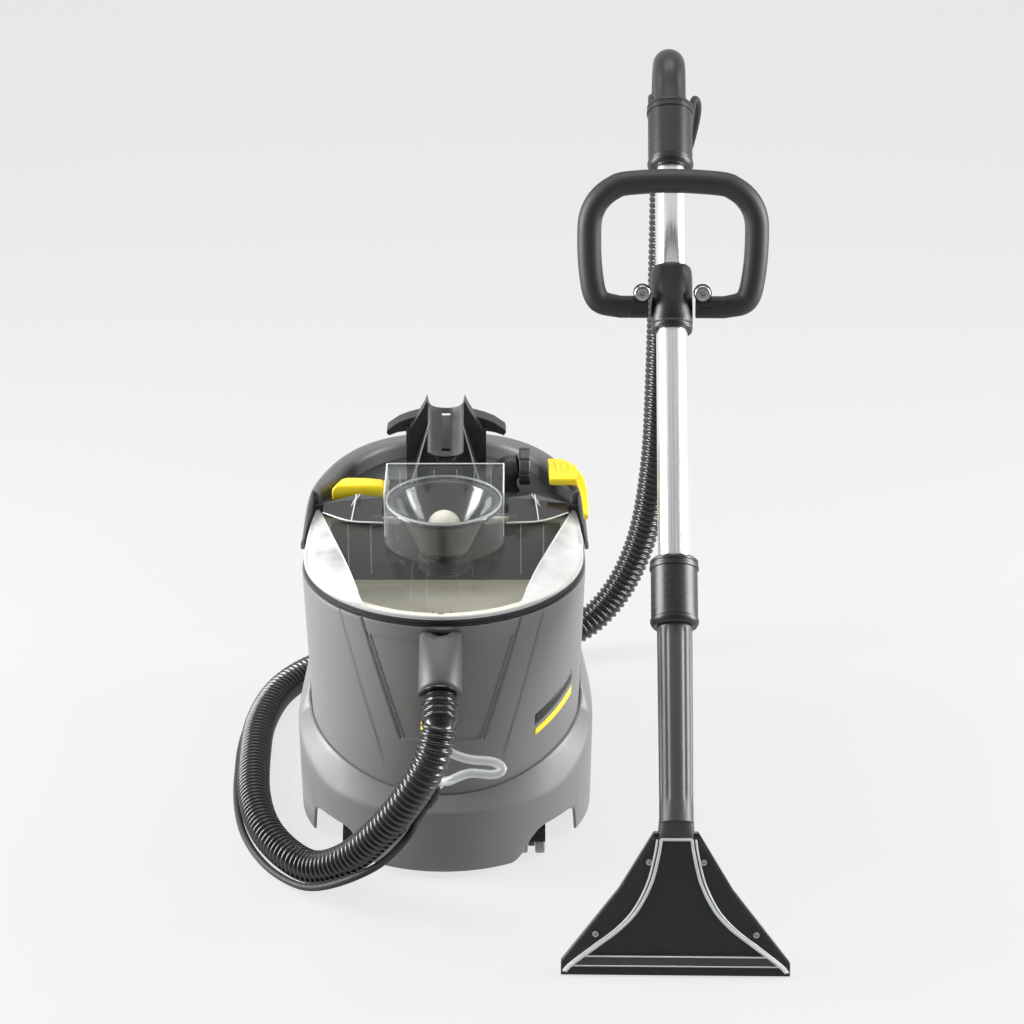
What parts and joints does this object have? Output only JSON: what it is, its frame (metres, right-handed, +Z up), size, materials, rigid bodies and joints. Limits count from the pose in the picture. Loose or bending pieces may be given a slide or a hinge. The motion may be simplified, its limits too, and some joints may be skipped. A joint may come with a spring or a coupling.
{
  "type": "spot extractor",
  "caption": "Spray-extraction spot cleaner: round-fronted tank on casters with clear lid, motor head and tube holder, corrugated suction hose, steel tube with D-handle and flat floor nozzle.",
  "frame": {"origin": "bottom centre of the bounding box of the machine and wand, on the floor, without the free hoses", "axes": "+Z up, +X to the right seen from the machine's front, +Y from the machine's front to its back"},
  "size_m": [0.6205, 0.8118, 0.7955],
  "materials": {
    "grey_plastic": "moulded, fine grain",
    "dark_grey_plastic": "moulded, fine grain",
    "black_plastic": "moulded, satin",
    "hose_plastic": "extruded, glossy, ribbed",
    "black_rubber": "smooth",
    "yellow_plastic": "moulded, satin",
    "cream_plastic": "natural, unpigmented",
    "clear_plastic": "clear moulded plastic, polished",
    "bright_tube": "bright drawn tube, fine lines along it",
    "motor_steel": "plain"
  },
  "bodies": {
    "root": {"base_skirt": "grey_plastic", "chassis_plate": "black_plastic", "fresh_water_tank": "grey_plastic", "tank_bulkhead": "grey_plastic", "motor_head": "dark_grey_plastic", "carry_handle": "grey_plastic", "counter_window": "black_plastic", "exhaust_elbow": "dark_grey_plastic", "cord_gland": "black_plastic", "accessory_holder": "dark_grey_plastic", "holder_cradle": "grey_plastic", "fan_housing": "black_plastic", "motor_gasket": "black_rubber", "vacuum_motor": "motor_steel", "pump_inlet_hose": "black_rubber", "pump_outlet_hose": "black_rubber", "suction_strainer": "cream_plastic", "spray_pump": "black_plastic", "hose_port": "dark_grey_plastic", "coupling_body": "black_plastic", "nozzle_shell": "black_plastic", "nozzle_cover": "clear_plastic", "neck_tube": "black_plastic", "suction_tube": "bright_tube", "wand_elbow": "black_plastic", "valve_body": "black_plastic", "spray_pipe": "bright_tube", "spray_jet": "yellow_plastic", "suction_hose": "hose_plastic", "spray_line": "black_rubber", "clear_spray_tube": "clear_plastic", "line_joiner": "black_plastic"},
    "dirty_tank": {"tank_seal": "black_rubber", "dirty_water_tub": "cream_plastic", "inlet_deflector": "dark_grey_plastic"},
    "cover": {"clear_cover": "clear_plastic", "float_cage": "black_plastic", "lint_filter": "black_plastic"},
    "float": {"float_ball": "cream_plastic"},
    "vacuum_button": {"suction_switch": "yellow_plastic"},
    "spray_button": {"spray_switch": "yellow_plastic"},
    "rotor": {"motor_rotor": "motor_steel"},
    "collar": {"coupling_collar": "yellow_plastic"},
    "exhaust_ring": {"exhaust_collar": "dark_grey_plastic"},
    "cuff_machine": {"hose_cuff_machine": "black_plastic"},
    "cuff_wand": {"hose_cuff_wand": "black_plastic"},
    "nut_low": {"lower_nut": "black_plastic"},
    "nut_high": {"upper_nut": "black_plastic"},
    "grip": {"d_handle": "black_plastic", "handle_clamp": "black_plastic"},
    "lever": {"spray_lever": "black_plastic"},
    "swivel_front_left": {"caster_fork_front_left": "black_plastic"},
    "wheel_front_left": {"caster_wheel_front_left": "black_plastic"},
    "swivel_front_right": {"caster_fork_front_right": "black_plastic"},
    "wheel_front_right": {"caster_wheel_front_right": "black_plastic"},
    "swivel_rear_left": {"caster_fork_rear_left": "black_plastic"},
    "wheel_rear_left": {"caster_wheel_rear_left": "black_plastic"},
    "swivel_rear_right": {"caster_fork_rear_right": "black_plastic"},
    "wheel_rear_right": {"caster_wheel_rear_right": "black_plastic"}
  },
  "joints": [
    {"name": "tank_lift", "type": "slide", "parent": "root", "child": "dirty_tank", "axis": [0, 0, 1], "range_m": [0, 0.12]},
    {"name": "cover_lift", "type": "slide", "parent": "dirty_tank", "child": "cover", "axis": [0, 0, 1], "range_m": [0, 0.1]},
    {"name": "float_rise", "type": "slide", "parent": "cover", "child": "float", "axis": [0, 0, 1], "range_m": [0, 0.018]},
    {"name": "vacuum_switch", "type": "hinge", "parent": "root", "child": "vacuum_button", "pos_m": [-0.1981, 0.1012, 0.3386], "axis": [1, 0, 0], "range_deg": [0, 8]},
    {"name": "spray_rocker", "type": "hinge", "parent": "root", "child": "spray_button", "pos_m": [0.0479, 0.1017, 0.3588], "axis": [-0.2419, 0.9703, 0], "range_deg": [0, 6]},
    {"name": "rotor_spin", "type": "hinge", "parent": "root", "child": "rotor", "pos_m": [-0.0996, 0.1657, 0], "axis": [0, 0, 1], "continuous": true},
    {"name": "collar_slide", "type": "slide", "parent": "root", "child": "collar", "axis": [0, 1, 0], "range_m": [0, 0.005], "stiffness_N_per_m": 300},
    {"name": "exhaust_collar_turn", "type": "hinge", "parent": "root", "child": "exhaust_ring", "pos_m": [-0.0156, 0.1267, 0.3592], "axis": [1, 0, 0], "continuous": true},
    {"name": "cuff_swivel_machine", "type": "hinge", "parent": "root", "child": "cuff_machine", "pos_m": [-0.0996, -0.23756, 0.25734], "axis": [0, -0.8571, -0.5151], "continuous": true},
    {"name": "cuff_swivel_wand", "type": "hinge", "parent": "root", "child": "cuff_wand", "pos_m": [0.15905, 0.36426, 0.73015], "axis": [0, 0, -1], "continuous": true},
    {"name": "lower_nut_turn", "type": "hinge", "parent": "root", "child": "nut_low", "pos_m": [0.14828, -0.32112, 0.13908], "axis": [0.0111, 0.707, 0.7071], "continuous": true},
    {"name": "upper_nut_turn", "type": "hinge", "parent": "root", "child": "nut_high", "pos_m": [0.14828, -0.32112, 0.13908], "axis": [0.0111, 0.707, 0.7071], "continuous": true},
    {"name": "grip_slide", "type": "slide", "parent": "root", "child": "grip", "axis": [0.0111, 0.707, 0.7071], "range_m": [-0.2, 0.1]},
    {"name": "lever_press", "type": "hinge", "parent": "root", "child": "lever", "pos_m": [0.15835, 0.31959, 0.70886], "axis": [-0.9999, 0.0157, 0], "range_deg": [0, 10], "stiffness_Nm_per_rad": 0.4},
    {"name": "swivel_turn_front_left", "type": "hinge", "parent": "root", "child": "swivel_front_left", "pos_m": [-0.1973, -0.1123, 0], "axis": [0, 0, 1], "continuous": true},
    {"name": "wheel_spin_front_left", "type": "hinge", "parent": "swivel_front_left", "child": "wheel_front_left", "pos_m": [-0.1973, -0.1313, 0.0185], "axis": [1, 0, 0], "continuous": true},
    {"name": "swivel_turn_front_right", "type": "hinge", "parent": "root", "child": "swivel_front_right", "pos_m": [-0.0019, -0.1123, 0], "axis": [0, 0, 1], "continuous": true},
    {"name": "wheel_spin_front_right", "type": "hinge", "parent": "swivel_front_right", "child": "wheel_front_right", "pos_m": [-0.0019, -0.1313, 0.0185], "axis": [1, 0, 0], "continuous": true},
    {"name": "swivel_turn_rear_left", "type": "hinge", "parent": "root", "child": "swivel_rear_left", "pos_m": [-0.19974, 0.16185, 0], "axis": [0, 0, 1], "continuous": true},
    {"name": "wheel_spin_rear_left", "type": "hinge", "parent": "swivel_rear_left", "child": "wheel_rear_left", "pos_m": [-0.19974, 0.18085, 0.0185], "axis": [1, 0, 0], "continuous": true},
    {"name": "swivel_turn_rear_right", "type": "hinge", "parent": "root", "child": "swivel_rear_right", "pos_m": [0.00054, 0.16185, 0], "axis": [0, 0, 1], "continuous": true},
    {"name": "wheel_spin_rear_right", "type": "hinge", "parent": "swivel_rear_right", "child": "wheel_rear_right", "pos_m": [0.00054, 0.18085, 0.0185], "axis": [1, 0, 0], "continuous": true}
  ]
}
